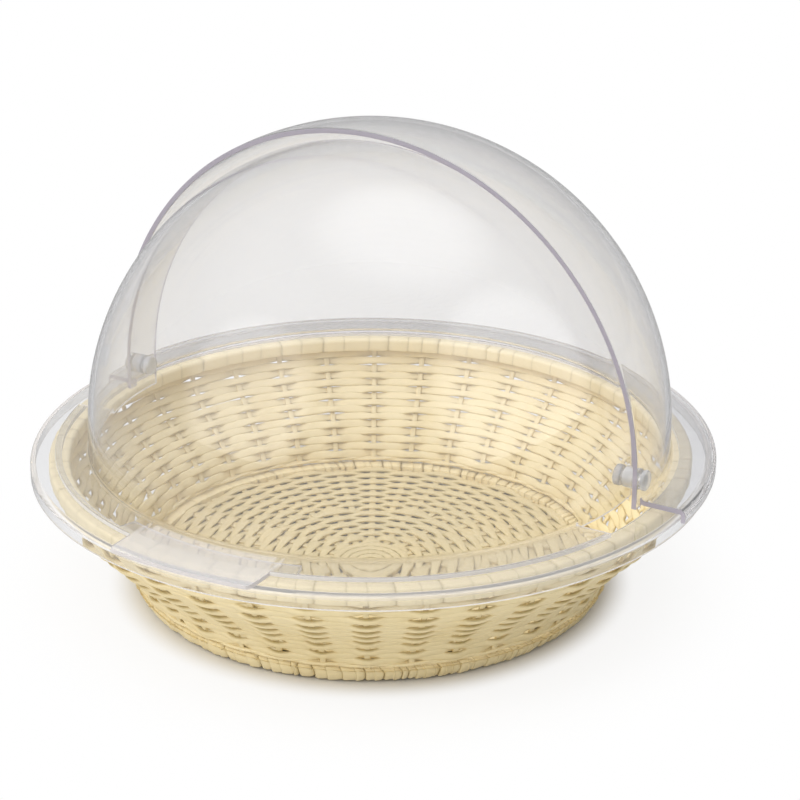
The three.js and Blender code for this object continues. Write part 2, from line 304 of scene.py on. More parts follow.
def laid_grid(name, columns, rows, place, gap_shade=None):
    """A grid whose points are laid by place(share of the columns, share of the rows). A second
    function of the same shares gives each point's painted shade: how deep in a gap it lies, 0 to 1."""
    let_go()
    bpy.ops.mesh.primitive_grid_add(x_subdivisions=columns, y_subdivisions=rows, size=1)
    piece = named(name)
    # Painted shade: how dark each point's colour is painted, deeper in the gaps where shade falls.
    depth = piece.data.attributes.new("gap_shade", "FLOAT_COLOR", "POINT")
    for vertex in piece.data.vertices:
        shares = vertex.co.x + 0.5, vertex.co.y + 0.5
        vertex.co = place(*shares)
        deep = gap_shade(*shares) if gap_shade else 0.0
        depth.data[vertex.index].color = (deep, deep, deep, 1.0)
    return piece


def hoop(name, steps, sides, place, gap_shade=None):
    """A grid rolled into a closed ring by place(share round, share of the section)."""
    piece = laid_grid(name, steps, sides, place, gap_shade)
    with Editing(piece) as edit:
        edit.faces_out()
    return piece


# Where things are on the basket


class Wall:
    """The middle of the woven wall, from the foot to the rim, by the share of its length."""

    STEPS = 240

    def __init__(self):
        border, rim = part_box("basket_foot_border")[1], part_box("basket_rim_wrap")[1]
        foot, low = border.x - 2 * MM, border.z + 2.6 * MM
        top, high = rim.x - 4.5 * MM, rim.z - 10 * MM
        belly = 3 * MM
        self.points = []
        for i in range(self.STEPS + 1):
            share = i / self.STEPS
            sway = belly * math.sin(TURN * share)
            self.points.append((foot + (top - foot) * share - sway, low + (high - low) * share))
        self.lengths = [0.0]
        for here, there in zip(self.points, self.points[1:]):
            self.lengths.append(self.lengths[-1] + math.dist(here, there))
        self.length = self.lengths[-1]

    def at(self, share):
        """Radius, height, and the wall's direction there."""
        goal = share * self.length
        i = 0
        while i < self.STEPS - 1 and self.lengths[i + 1] < goal:
            i += 1
        part = (goal - self.lengths[i]) / (self.lengths[i + 1] - self.lengths[i])
        (r0, z0), (r1, z1) = self.points[i], self.points[i + 1]
        step = math.dist((r0, z0), (r1, z1))
        return r0 + (r1 - r0) * part, z0 + (z1 - z0) * part, (r1 - r0) / step, (z1 - z0) / step

    @staticmethod
    def place(spot, angle, along, off, aside=0.0):
        radius, height, out, up = spot
        reach = radius + along * out + off * up
        return Vector((
            reach * math.cos(angle) - aside * math.sin(angle),
            reach * math.sin(angle) + aside * math.cos(angle),
            height + along * up - off * out,
        ))


class Drift:
    """Small, smooth and seeded waves round a closed ring."""

    def __init__(self, seed, size, finest=18):
        chance = random.Random(seed)
        self.parts = [
            (size * chance.uniform(-1, 1) / math.sqrt(n), n, chance.uniform(0, TURN))
            for n in range(2, finest + 1, 2)
        ]

    def at(self, angle):
        return sum(size * math.sin(n * angle + shift) for size, n, shift in self.parts)


def crossing(angle, count, row):
    """1 in front of a stake, -1 behind it, rounded so that the strand lies on the stake."""
    wave = math.cos(angle * count / 2 + math.pi * row)
    return wave * (1.3 - 0.3 * wave * wave)


def flat_oval(turn, tall, thick):
    """The outline of a strand's section: nearly flat faces with round edges. An exponent of 1 is
    an oval, and a lower one fills out the corners."""
    up, out = math.sin(turn), math.cos(turn)
    return (
        tall / 2 * math.copysign(abs(up) ** 0.8, up),
        thick / 2 * math.copysign(abs(out) ** 0.45, out),
    )


def beside(count, row, at_stakes):
    """Paints shade on the two edges of a strand where they lie in the gaps, which are beside the
    stakes or else between them: how deep they lie there, from 0 to 1."""
    edge_start = 0.7

    def gap_shade(round_share, side_share):
        edge = max(0.0, (abs(math.sin(TURN * side_share)) - edge_start) / (1 - edge_start)) ** 1.5
        near = crossing(TURN * round_share, count, row) ** 6
        return edge * (near if at_stakes else 1 - near)
    return gap_shade


def weave_round(sizes, wall, row, sway):
    """One strand, woven round the stakes. It is flat between two stakes and squeezed on them."""
    height = (row + 0.5) / len(WEAVERS)
    spot = wall.at(height)
    rise = Drift(40 + row, 0.45 * MM, 36)
    push = Drift(80 + row, 0.2 * MM, 36)
    swell = Drift(120 + row, 0.35 * MM, 36)
    inside = math.sin(math.pi * height)

    def place(round_share, side_share):
        angle = TURN * round_share
        wave = crossing(angle, sizes.stakes, row)
        tall = sizes.strand_tall + (sizes.strand_squeezed - sizes.strand_tall) * wave ** 10
        along, off = flat_oval(TURN * side_share, tall + swell.at(angle), sizes.strand_thick)
        along += rise.at(angle) + inside * sway.at(angle) + sizes.strand_shift * wave ** 9
        off += sizes.weave_depth * wave ** 5 + push.at(angle)
        return Wall.place(spot, angle, along, off)

    name = WEAVERS[row].replace("basket_weaver", "woven_strand")
    return hoop(name, sizes.stakes * 10, 12, place, beside(sizes.stakes, row, True))


def strip(name, steps, place, thick, edge):
    """A flat strip, laid by place(share along, -1 to 1 across), with its thickness and edges."""
    piece = laid_grid(name, 1, steps, lambda column, row: place(row, 2 * column - 1))
    modify(piece, "SOLIDIFY", thickness=thick, offset=0)
    modify(piece, "BEVEL", width=edge, segments=2, limit_method="ANGLE", angle_limit=SHARP)
    with Editing(piece) as edit:
        edit.faces_out()
    return piece


def raise_stakes(sizes, wall):
    """The stakes, which stand upright past both ends of the wall."""
    tip = 1 + 7 * MM / wall.length
    foot = -3 * MM / wall.length

    def place(share, across):
        at = foot + (tip - foot) * share
        on_wall = min(max(at, 0), 1)
        point = Wall.place(wall.at(on_wall), 0, 0, 0, across * sizes.stake_wide / 2)
        point.z += (at - on_wall) * wall.length
        return point

    piece = strip("upright_stakes", 20, place, sizes.stake_thick, 0.4 * MM)
    copies_round(piece, sizes.stakes)
    return piece


def base_hoop(wall):
    """The two strands twisted round the stakes' feet."""
    middle = wall.points[0][0]
    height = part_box("basket_foot_border")[1].z + 1.6 * MM
    thick = 1.1 * MM
    twists = 18

    def twisted(start):
        def place(round_share, side_share):
            angle, turn = TURN * round_share, TURN * side_share
            twist = twists * angle + start
            radius = middle + 0.9 * MM * math.cos(twist) + thick * math.cos(turn)
            lift = 0.5 * MM * math.sin(twist) + thick * math.sin(turn)
            return Vector((radius * math.cos(angle), radius * math.sin(angle), height + lift))
        return place

    return [hoop(f"foot_twine_{i}", 16 * twists, 8, twisted(math.pi * i)) for i in range(2)]


def round_turns(chance, count, unevenness):
    """The shares of a ring where each of count wound turns starts."""
    widths = [1 + chance.uniform(-unevenness, unevenness) for _ in range(count)]
    total = sum(widths)
    starts = [0.0]
    for width in widths[:-1]:
        starts.append(starts[-1] + width / total)
    return starts + [1.0]


# The parts of one turn of a wound strand where its mesh has points, closer at its edges
STOPS = (0.0, 0.035, 0.09, 0.25, 0.5, 0.75, 0.91, 0.965)


def wound(name, outline, count, seed, unevenness, grooves, lap, slant):
    """A strand laid side by side round a ring. The outline gives its section, as radius, height
    and the direction out of the strand, by the share of the way round the section. The grooves
    are the depths that there can be between two turns, and the deeper ones are wider too."""
    chance = random.Random(seed)
    starts = round_turns(chance, count, unevenness)
    steps = count * len(STOPS)
    depths = [chance.choice(grooves) for _ in range(count)]
    proud = [chance.uniform(0, lap) for _ in range(count)]
    leans = [chance.uniform(0.4, 1.6) * slant for _ in range(count)]
    deepest = max(grooves)

    def spot(round_share):
        """The turn, the part of it, the nearer edge of it, and how far the groove there opens."""
        turn, stop = divmod(round(round_share * steps) % steps, len(STOPS))
        part = STOPS[stop]
        edge = turn if part < 0.5 else (turn + 1) % count
        mouth = 0.03 + 0.06 * depths[edge] / deepest
        return turn, part, edge, math.exp(-min(part, 1 - part) / mouth)

    # Painted shade in the grooves between two turns, darker in the deeper grooves.
    def gap_shade(round_share, side_share):
        _, _, edge, rounding = spot(round_share)
        return rounding ** 2 * (0.5 + 0.5 * depths[edge] / deepest)

    def place(round_share, side_share):
        turn, part, edge, rounding = spot(round_share)
        here = starts[turn] + (starts[turn + 1] - starts[turn]) * part
        radius, height, out, up = outline(side_share)
        depth = depths[edge] * rounding + (lap * part + proud[turn]) * (1 - rounding)
        lean = leans[edge] * math.cos(TURN * side_share) / max(radius, 1 * MM)
        angle = TURN * here + lean
        reach = radius - depth * out
        return Vector((reach * math.cos(angle), reach * math.sin(angle), height - depth * up))

    return hoop(name, steps, 30, place, gap_shade)


def rounded(corners):
    """The outline of a section with round corners, each given as radius, height and rounding,
    from the first corner on and back to it, anticlockwise."""
    path = []
    steps = 8
    for i, (r, z, rounding) in enumerate(corners):
        here = Vector((r, z))
        before = (Vector(corners[i - 1][:2]) - here).normalized()
        after = (Vector(corners[(i + 1) % len(corners)][:2]) - here).normalized()
        for k in range(steps + 1):
            t = k / steps
            path.append(here + rounding * (before * (1 - t) ** 2 + after * t ** 2))
    lengths = [0.0]
    for i, point in enumerate(path):
        lengths.append(lengths[-1] + (path[(i + 1) % len(path)] - point).length)

    def outline(share):
        goal = share % 1.0 * lengths[-1]
        i = 0
        while lengths[i + 1] < goal:
            i += 1
        step = lengths[i + 1] - lengths[i]
        way = path[(i + 1) % len(path)] - path[i]
        spot = path[i] + way * ((goal - lengths[i]) / step if step else 0)
        out = Vector((way.y, -way.x)).normalized()
        return spot.x, spot.y, out.x, out.y

    return outline


def weave_base(sizes):
    """Spokes, the crossed ends in the middle, and the strands woven round them. Every second spoke
    reaches the middle, and near it the strands lie flat on the spokes."""
    low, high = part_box("basket_base_panel")
    middle = (low.z + high.z) / 2
    edge = high.x
    spoke_thick, spoke_edge = 1.2 * MM, 0.3 * MM
    middle_hole, short_start, flat_within = 5 * MM, 70 * MM, 24 * MM

    def spoke(start):
        def place(share, across):
            return Vector((start + (edge - 0.5 * MM - start) * share, across * 2 * MM, middle))
        return place

    def crossed(height, turned_across):
        def place(share, across):
            along, aside = (share - 0.5) * 15 * MM, across * 2.6 * MM
            flat = (aside, along) if turned_across else (along, aside)
            return Vector((*flat, middle + height))
        return place

    pieces = [
        strip("base_spokes_long", 12, spoke(middle_hole), spoke_thick, spoke_edge),
        strip("base_spokes_short", 8, spoke(short_start), spoke_thick, spoke_edge),
    ]
    for spokes in pieces:
        copies_round(spokes, sizes.spokes)
    turned(pieces[1], TURN / sizes.spokes / 2)
    for name, height, turned_across in (("upper", 0.1 * MM, False), ("lower", -0.75 * MM, True)):
        ends = crossed(height, turned_across)
        pieces.append(strip(f"base_cross_{name}", 4, ends, spoke_thick, spoke_edge))

    def base_round(radius, row):
        count = 2 * sizes.spokes if radius > short_start + 2 * MM else sizes.spokes
        woven = radius > flat_within
        rise = Drift(200 + row, 0.14 * MM)

        def place(round_share, side_share):
            angle = TURN * round_share
            wave = crossing(angle, count, row)
            wide = 4.6 * MM + 1.5 * MM * wave * wave * woven
            aside, lift = flat_oval(TURN * side_share, wide, 1.5 * MM)
            reach = radius + aside + rise.at(angle)
            lift += spoke_thick * (wave if woven else 1)
            return Vector((reach * math.cos(angle), reach * math.sin(angle), middle + lift))

        steps = count * 8 if woven else 72
        return hoop(f"base_round_{row:02d}", steps, 10, place, beside(count, row, False))

    pitch = 4.75 * MM
    radius = edge - 2.6 * MM
    row = 0
    while radius > middle_hole:
        pieces.append(base_round(radius, row))
        radius -= pitch
        row += 1
    return pieces


# The clear cover


def hollow_dome(name, radius, pivot, skirt_end):
    """The outside of a dome on its pivot line, with a skirt, ready for its flange."""
    let_go()
    bpy.ops.mesh.primitive_uv_sphere_add(
        segments=240, ring_count=120, radius=radius,
        location=(0, 0, pivot), rotation=(math.pi / 2, 0, 0),
    )
    piece = named(name)
    settle(piece)
    with Editing(piece) as edit:
        edit.pick_all()
        edit.cut((0, 0, pivot), (0, 0, 1), drop_behind=True)
        edit.pick_border(lambda co: True)
        edit.draw_out(shift=(0, 0, skirt_end - pivot))
    return piece


def on_height(height):
    return lambda co: abs(co.z - height) < 1e-5


def round_bend(edit, radius, height, bend):
    """Rounds the ring of edges at a radius and height."""
    edit.pick(
        "EDGE",
        lambda co: abs(math.hypot(co.x, co.y) - radius) < 2e-5 and abs(co.z - height) < 1e-5,
    )
    bpy.ops.mesh.bevel(offset=bend, offset_type="OFFSET", segments=5, affect="EDGES")


def thicken(piece, sheet, thinner, is_thin):
    """Gives the sheet its thickness inwards, with some parts thinner."""
    for _ in range(2):
        piece.data.materials.append(None)
    group = piece.vertex_groups.new(name="thickness")
    for vertex in piece.data.vertices:
        group.add([vertex.index], thinner / sheet if is_thin(vertex.co) else 1.0, "REPLACE")
    with Editing(piece) as edit:
        edit.faces_out()
    modify(
        piece, "SOLIDIFY", thickness=sheet, offset=-1, use_even_offset=True,
        vertex_group="thickness", use_quality_normals=True, material_offset_rim=1,
    )
    with Editing(piece) as edit:
        edit.pick_all()
        bpy.ops.mesh.remove_doubles(threshold=0.4 * MM)


def round_edges(piece, width):
    modify(
        piece, "BEVEL", width=width, segments=2, limit_method="ANGLE", angle_limit=SHARP,
        use_clamp_overlap=True,
    )


# Levels of the mark on faces that were cut, painted lighter or darker, and of the painted highlight
# on bends
BRIGHT_CUT = 0.5
BEND_HIGHLIGHT = 0.18


def mark_faces(piece, name, level_of):
    """Keeps a level for each face as an attribute of the mesh."""
    marks = piece.data.attributes.new(name, "FLOAT_COLOR", "CORNER")
    for face in piece.data.polygons:
        value = level_of(face)
        for corner in face.loop_indices:
            marks.data[corner].color = (value, value, value, 1.0)


def mark_cut_edges(piece, darkness, is_highlit=lambda co: False):
    """Marks the faces that were cut, from BRIGHT_CUT to 1 where they are painted darker, and bends
    with a painted highlight.
    """
    def painted_edge_tone(face):
        if face.material_index == 1:
            return darkness(face.center)
        return BEND_HIGHLIGHT if is_highlit(face.center) else 0.0

    mark_faces(piece, "cut_edge", painted_edge_tone)
    for face in piece.data.polygons:
        face.material_index = 0


# The pivot pins and the holes that they turn in
PIN_HOLE = 3.3 * MM
PIN_HEAD = 6 * MM
PIN_HEAD_THICK = 2.5 * MM
PIN_ROUNDING = 0.8 * MM


def drill_pivots(piece, pivot):
    let_go()
    bpy.ops.mesh.primitive_cylinder_add(
        vertices=32, radius=PIN_HOLE, depth=0.6, location=(0, 0, pivot),
        rotation=(0, math.pi / 2, 0),
    )
    drill = named("drill")
    settle(drill)
    modify(piece, "BOOLEAN", operation="DIFFERENCE", object=drill, solver="EXACT")
    bpy.data.objects.remove(drill)


def end_flange(edit, y, forward, bend_top, shell_bottom):
    """Cuts the flange off at y, in front of it or behind it, and there runs the wall above the
    flange's bend straight down."""
    def is_past(co):
        return co.y < y + 1e-6 if forward else co.y > y - 1e-6

    def in_flange(co):
        return co.z < bend_top + 1e-5

    edit.pick("FACE", in_flange)
    edit.cut((0, y, 0), (0, 1 if forward else -1, 0))
    edit.drop_faces(lambda co: is_past(co) and in_flange(co))
    edit.pick_border(lambda co: is_past(co) and abs(co.z - bend_top) < 1e-5)
    edit.draw_out(shift=(0, 0, shell_bottom - bend_top))


def form_rear_dome(sizes):
    low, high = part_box("cover_rear_dome")
    shell_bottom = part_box("cover_ring")[1].z + 0.3 * MM
    flange_top = shell_bottom + sizes.sheet
    foot_bend = 2.0 * MM
    piece = hollow_dome("rear_dome", sizes.dome_radius, sizes.pivot_height, flange_top)
    with Editing(piece) as edit:
        edit.pick_border(on_height(flange_top))
        edit.draw_out(spread=high.x / sizes.dome_radius)
        edit.pick_border(on_height(flange_top))
        edit.draw_out(shift=(0, 0, low.z - flange_top))
        round_bend(edit, sizes.dome_radius, flange_top, foot_bend)
        round_bend(edit, high.x, flange_top, sizes.bend)
        edit.pick_all()
        edit.cut((0, low.y, 0), (0, 1, 0), drop_behind=True)
        end_flange(edit, 0, True, flange_top + foot_bend, shell_bottom)
    thicken(piece, sizes.sheet, sizes.thin_sheet, lambda co: math.hypot(co.x, co.y) > high.x - 1e-4)
    round_edges(piece, sizes.edge_round)
    drill_pivots(piece, sizes.pivot_height)
    # The front cut edge is painted in the darker cut tone, as painted shade; the other cut faces get
    # the lip tone.
    mark_cut_edges(piece, lambda co: 1.0 if co.y < 1 * MM else BRIGHT_CUT)
    smooth_sheet(piece)
    return piece


def grip_edge(x, half, front, bow, corner):
    """How far forward the grip reaches at x."""
    flat = half - corner
    if abs(x) <= flat:
        return front - bow * (x / flat) ** 2
    t = 1 - math.sqrt(max(0.0, 1 - (abs(x) - flat) / corner))
    return front - bow - corner * t * t


def form_lid(sizes):
    low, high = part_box("lid_shell")
    shell_bottom, front = low.z, -low.y
    flange_top = shell_bottom + sizes.lid_flange
    foot_bend = 1.6 * MM
    half, corner, bow = sizes.grip_half, 5 * MM, 2.5 * MM
    back_of_flange = -45 * MM
    piece = hollow_dome("lid", sizes.lid_radius, sizes.pivot_height, flange_top)
    with Editing(piece) as edit:
        edit.pick_border(on_height(flange_top))
        edit.draw_out(spread=sizes.lid_reach / sizes.lid_radius)
        round_bend(edit, sizes.lid_radius, flange_top, foot_bend)
        for x in (half, half - 1.2 * MM, half - 2.8 * MM, half - corner):
            for side in (-1, 1):
                edit.pick("FACE", lambda co: co.z < flange_top + 1e-5 and co.y < 0)
                edit.cut((side * x, 0, 0), (1, 0, 0))
        edit.pick_border(
            lambda co: co.y < 0 and abs(co.x) < half + 1e-6 and co.z < flange_top + 1e-5
        )
        edit.draw_out()
        mesh = bmesh.from_edit_mesh(piece.data)
        for vertex in mesh.verts:
            if vertex.select:
                vertex.co.y = -grip_edge(vertex.co.x, half, front, bow, corner)
        bmesh.update_edit_mesh(piece.data)
        end_flange(edit, back_of_flange, False, flange_top + foot_bend, shell_bottom)
        edit.pick_all()
        edit.cut((0, high.y, 0), (0, -1, 0), drop_behind=True)
    thicken(
        piece, sizes.sheet, sizes.lid_flange,
        lambda co: math.hypot(co.x, co.y) > sizes.lid_radius + 1e-5
        and co.z < flange_top + 0.5 * MM,
    )
    round_edges(piece, sizes.edge_round)
    drill_pivots(piece, sizes.pivot_height)

    # How dark each cut face is painted: painted shade, darkest on the top cut edges, less on the
    # grip's front.
    def darkness(co):
        if co.z > flange_top + 5 * MM:
            return 0.9
        return 0.7 if co.y < -sizes.lid_reach else BRIGHT_CUT

    def is_grip(face):
        x, y, _ = face.center
        return y < -sizes.lid_radius - 2 * MM and abs(x) < half - 0.2 * MM

    mark_cut_edges(piece, darkness)
    mark_faces(piece, "frosted", lambda face: float(is_grip(face)))
    smooth_sheet(piece)
    return piece


def form_ring(sizes):
    low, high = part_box("cover_ring")
    steps = 360
    let_go()
    bpy.ops.mesh.primitive_cylinder_add(
        vertices=steps, radius=high.x, depth=high.z - low.z, end_fill_type="NOTHING",
        location=(0, 0, (low.z + high.z) / 2), rotation=(0, 0, TURN / steps / 2),
    )
    piece = named("seat_ring")
    settle(piece)
    tongue_half = math.radians(18.5)
    with Editing(piece) as edit:
        edit.pick_border(on_height(high.z))
        edit.draw_out(spread=sizes.ring_hole / high.x)
        round_bend(edit, high.x, high.z, sizes.bend)
        edit.pick_border(
            lambda co: math.hypot(co.x, co.y) < sizes.ring_hole + 1e-5
            and abs(math.atan2(co.x, -co.y)) < tongue_half + 1e-4
        )
        edit.draw_out(spread=sizes.landing_hole / sizes.ring_hole)
    thicken(piece, sizes.thin_sheet, sizes.thin_sheet, lambda co: False)
    round_edges(piece, sizes.edge_round)
    # The ring's bend gets a painted highlight, a strip of the bright lip tone.
    bend_start = high.x - sizes.bend
    mark_cut_edges(
        piece, lambda co: BRIGHT_CUT,
        lambda co: math.hypot(co.x, co.y) > bend_start and co.z > high.z - sizes.bend,
    )
    smooth_sheet(piece)
    return piece


def turn_pivot(name, x_low, x_high, pivot, rounding, hole=0.0):
    """A short round bar on the pivot line, or a sleeve if it has a hole."""
    let_go()
    bpy.ops.mesh.primitive_cylinder_add(
        vertices=48, radius=PIN_HEAD, depth=x_high - x_low,
        end_fill_type="NOTHING" if hole else "NGON",
        location=((x_low + x_high) / 2, 0, pivot), rotation=(0, math.pi / 2, 0),
    )
    piece = named(name)
    settle(piece)
    if hole:
        modify(piece, "SOLIDIFY", thickness=PIN_HEAD - hole, offset=-1)
    modify(piece, "BEVEL", width=rounding, segments=3, limit_method="ANGLE", angle_limit=SHARP)
    smooth(piece)
    return piece


def sink(piece, on_end, margin, shift):
    """Insets one end of a bar and moves the middle of it along the bar."""
    with Editing(piece) as edit:
        edit.pick("FACE", on_end)
        bpy.ops.mesh.inset(thickness=margin)
        edit.draw_out(shift=(shift, 0, 0))
        edit.faces_out()
    smooth(piece)
    return piece


def turn_pin(side, pivot):
    low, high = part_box("pivot_pin_right")
    head = high.x - PIN_HEAD_THICK
    piece = turn_pivot(f"{side}_pin", head, high.x, pivot, PIN_ROUNDING)
    return sink(piece, lambda co: co.x < head + 1e-6, margin=2.2 * MM, shift=low.x - head)


def turn_spacer(side, pivot):
    low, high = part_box("pivot_spacer_right")
    return turn_pivot(f"{side}_spacer", low.x, high.x, pivot, 0.3 * MM, PIN_HOLE)


def turn_cap(side, pivot):
    low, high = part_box("pivot_cap_right")
    piece = turn_pivot(f"{side}_cap", low.x, high.x, pivot, PIN_ROUNDING)
    return sink(piece, lambda co: co.x > high.x - 1e-6, margin=1.9 * MM, shift=-2.0 * MM)


# Finishes


def reckon(operation, *values):
    """Adds a Math node to the material that the values belong to."""
    finish = next(value.finish for value in values if isinstance(value, Wire))
    return finish.node("Math", {"operation": operation}, dict(enumerate(values)))


class Wire:
    """A value in a material. Arithmetic on it adds Math nodes."""

    def __init__(self, finish, socket):
        self.finish = finish
        self.socket = socket

    def __add__(self, other):
        return reckon("ADD", self, other)

    def __sub__(self, other):
        return reckon("SUBTRACT", self, other)

    def __rsub__(self, other):
        return reckon("SUBTRACT", other, self)

    def __mul__(self, other):
        return reckon("MULTIPLY", self, other)

    def __pow__(self, other):
        return reckon("POWER", self, other)

    __radd__ = __add__
    __rmul__ = __mul__


class Finish:
    """A material, or the world's light, that is built node by node."""

    def __init__(self, name, kind="material"):
        self.kind = kind
        self.owner = (bpy.data.worlds if kind == "world" else bpy.data.materials).new(name)
        self.owner.use_nodes = True
        self.tree = self.owner.node_tree
        self.tree.nodes.clear()

    def node(self, kind, settings=None, values=None, output=0):
        """Adds a shader node, with its settings first, then its sockets' values or links."""
        node = self.tree.nodes.new(f"ShaderNode{kind}")
        for name, value in (settings or {}).items():
            setattr(node, name, value)
        for name, value in (values or {}).items():
            if isinstance(value, Wire):
                self.tree.links.new(value.socket, node.inputs[name])
            else:
                node.inputs[name].default_value = value
        return Wire(self, node.outputs[output])

    def place(self, kind="Object"):
        return self.node("TexCoord", output=kind)

    def attribute(self, name):
        return self.node("Attribute", {"attribute_name": name}, output="Fac")

    def vector(self, operation, *values, output=0):
        settings = {"operation": operation}
        return self.node("VectorMath", settings, dict(enumerate(values)), output)

    def stretched(self, where, scale):
        return self.vector("MULTIPLY", where, scale)

    def along(self, where, direction):
        """How far a place lies in a direction."""
        return self.vector("DOT_PRODUCT", where, direction, output="Value")

    def surface(self, **inputs):
        """A Principled shader, with its sockets' names written with underscores."""
        names = {"ior": "IOR", "specular": "Specular IOR Level"}
        return self.node("BsdfPrincipled", None, {
            names.get(name, name.replace("_", " ").title()): value for name, value in inputs.items()
        })

    def noise(self, where, scale, detail=3.0):
        inputs = {"Vector": where, "Scale": scale, "Detail": detail}
        return self.node("TexNoise", None, inputs, "Fac")

    def between(self, value, low, high):
        """0 where the value is at low, 1 where it is at high."""
        inputs = {"Value": value, "From Min": low, "From Max": high}
        return self.node("MapRange", {"interpolation_type": "SMOOTHSTEP"}, inputs)

    def mix(self, factor, first, second):
        inputs = {0: factor, 6: first, 7: second}
        return self.node("Mix", {"data_type": "RGBA"}, inputs, 2)

    def bump(self, height, distance, strength=1.0):
        inputs = {"Height": height, "Distance": distance, "Strength": strength}
        return self.node("Bump", None, inputs)

    def ray(self, *kinds):
        """1 for rays of any of these kinds, such as Camera."""
        found = [self.node("LightPath", output=f"Is {kind} Ray") for kind in kinds]
        return functools.reduce(functools.partial(reckon, "MAXIMUM"), found)

    def blend(self, factor, first, second):
        return self.node("MixShader", None, {0: factor, 1: first, 2: second})

    def show(self, shader, volume=None):
        output = self.tree.nodes.new(f"ShaderNodeOutput{self.kind.title()}")
        self.tree.links.new(shader.socket, output.inputs["Surface"])
        if volume is not None:
            self.tree.links.new(volume.socket, output.inputs["Volume"])
        return self.owner


def rgba(colour, share=1.0):
    return (*(share * part for part in colour), 1.0)


def strand_finish(name, colour, darker, gap_shade, grain):
    """Moulded strand: mottled cream, fine lines along the strand, satin, and painted shade in the
    gaps.
    """
    finish = Finish(name)
    place = finish.place()
    patches = finish.between(finish.noise(place, 38.0, 2.0), 0.42, 0.72)
    specks = finish.between(finish.noise(place, 420.0, 2.0), 0.58, 0.75)
    lines = finish.noise(finish.stretched(finish.place("UV"), grain), 1.0, 2.0)
    base = finish.mix(patches * 0.55 + specks * 0.18, rgba(colour), rgba(darker))
    lighter = rgba([min(1.0, part * 1.08) for part in colour])
    base = finish.mix(finish.between(lines, 0.35, 0.7) * 0.4, base, lighter)
    # Painted shade in the gaps between strands and between wound turns.
    deep = finish.attribute("gap_shade")
    return finish.show(finish.surface(
        base_color=finish.mix(deep * (0.7 + 0.2 * patches), base, rgba(gap_shade)),
        roughness=0.34 + 0.16 * lines + 0.08 * patches + 0.2 * deep,
        specular=0.4,
        normal=finish.bump(lines + 0.5 * finish.noise(place, 160.0, 2.0), 0.12 * MM, 0.7),
    ))


def clear_finish(name, colours):
    """Clear sheet with a faint haze: glossy, faintly scuffed by wiping, with painted shade where it
    is seen edge on, and frosted where it was cut and on the grip, the cut faces' tone painted light
    and shade."""
    finish = Finish(name)
    place = finish.place()
    wiped = finish.noise(finish.stretched(place, (1.0, 1.0, 6.0)), 55.0, 3.0)
    scuffs = finish.between(wiped, 0.5, 0.8)
    gloss = 0.012 + 0.03 * scuffs
    frost = 0.32 + 0.12 * finish.noise(place, 300.0, 2.0)

    def sheet(tone, roughness, through):
        return finish.surface(
            base_color=tone, roughness=roughness, ior=1.5, transmission_weight=through
        )

    polished = 0.955
    # Painted shade: darker where the sheet is seen edge on, in place of darker reflections there.
    facing = finish.node("LayerWeight", None, {"Blend": 0.5}, "Facing")
    edge_on_shade = sheet(rgba(colours.clear, 0.36), gloss, polished)
    solid = finish.blend(facing ** 4.5 * 0.85, sheet(rgba(colours.clear), gloss, polished), edge_on_shade)
    grip = sheet((0.92, 0.91, 0.92, 1.0), frost, 0.2)
    solid = finish.blend(finish.attribute("frosted") * 0.2, solid, grip)
    # The cut faces are frosted; their tone, from the lip tone to the darker cut tone, is painted
    # light and shade.
    cut = finish.attribute("cut_edge")
    tone = finish.mix(finish.between(cut, BRIGHT_CUT, 1.0), rgba(colours.lip), rgba(colours.cut))
    solid = finish.blend(finish.between(cut, 0.0, BRIGHT_CUT), solid, sheet(tone, frost, 0.3))
    through = finish.node("BsdfTransparent", None, {"Color": (0.98, 0.98, 0.985, 1.0)})
    shader = finish.blend(finish.ray("Shadow", "Diffuse"), solid, through)
    tint_inside = {"Color": rgba(colours.edge), "Density": 7.0}
    return finish.show(shader, finish.node("VolumeAbsorption", None, tint_inside))


def milky_finish(name, colour):
    """Clear plastic that is a little cloudy."""
    finish = Finish(name)
    cloud = finish.noise(finish.place(), 260.0, 2.0)
    return finish.show(finish.surface(
        base_color=finish.mix(cloud, rgba(colour), rgba(colour, 0.93)),
        roughness=0.08 + 0.08 * cloud,
        ior=1.5,
        transmission_weight=0.68,
        normal=finish.bump(cloud, 0.008 * MM),
    ))


def steel_finish(name, colour):
    """Drawn wire."""
    finish = Finish(name)
    drawn = finish.noise(finish.stretched(finish.place(), (1.0, 1.0, 30.0)), 220.0, 2.0)
    return finish.show(finish.surface(
        base_color=finish.mix(drawn, rgba(colour), rgba(colour, 0.8)),
        metallic=1.0,
        roughness=0.28 + 0.2 * drawn,
        normal=finish.bump(drawn, 0.02 * MM),
    ))


VIEWED = ("Camera", "Glossy", "Transmission")
WHITE, WARM = (1.0, 1.0, 1.0), (1.0, 0.99, 0.975)

# Where the light comes from
ABOVE = (0.0, 0.0, 1.0)
HIGH_BEHIND = (0.03, 0.27, 0.96)
FRONT_LEFT = (-0.22, -0.62, 0.75)
LEFT_PANEL = (-0.402, -0.839, 0.372)
RIGHT_PANEL = (0.938, 0.129, 0.320)


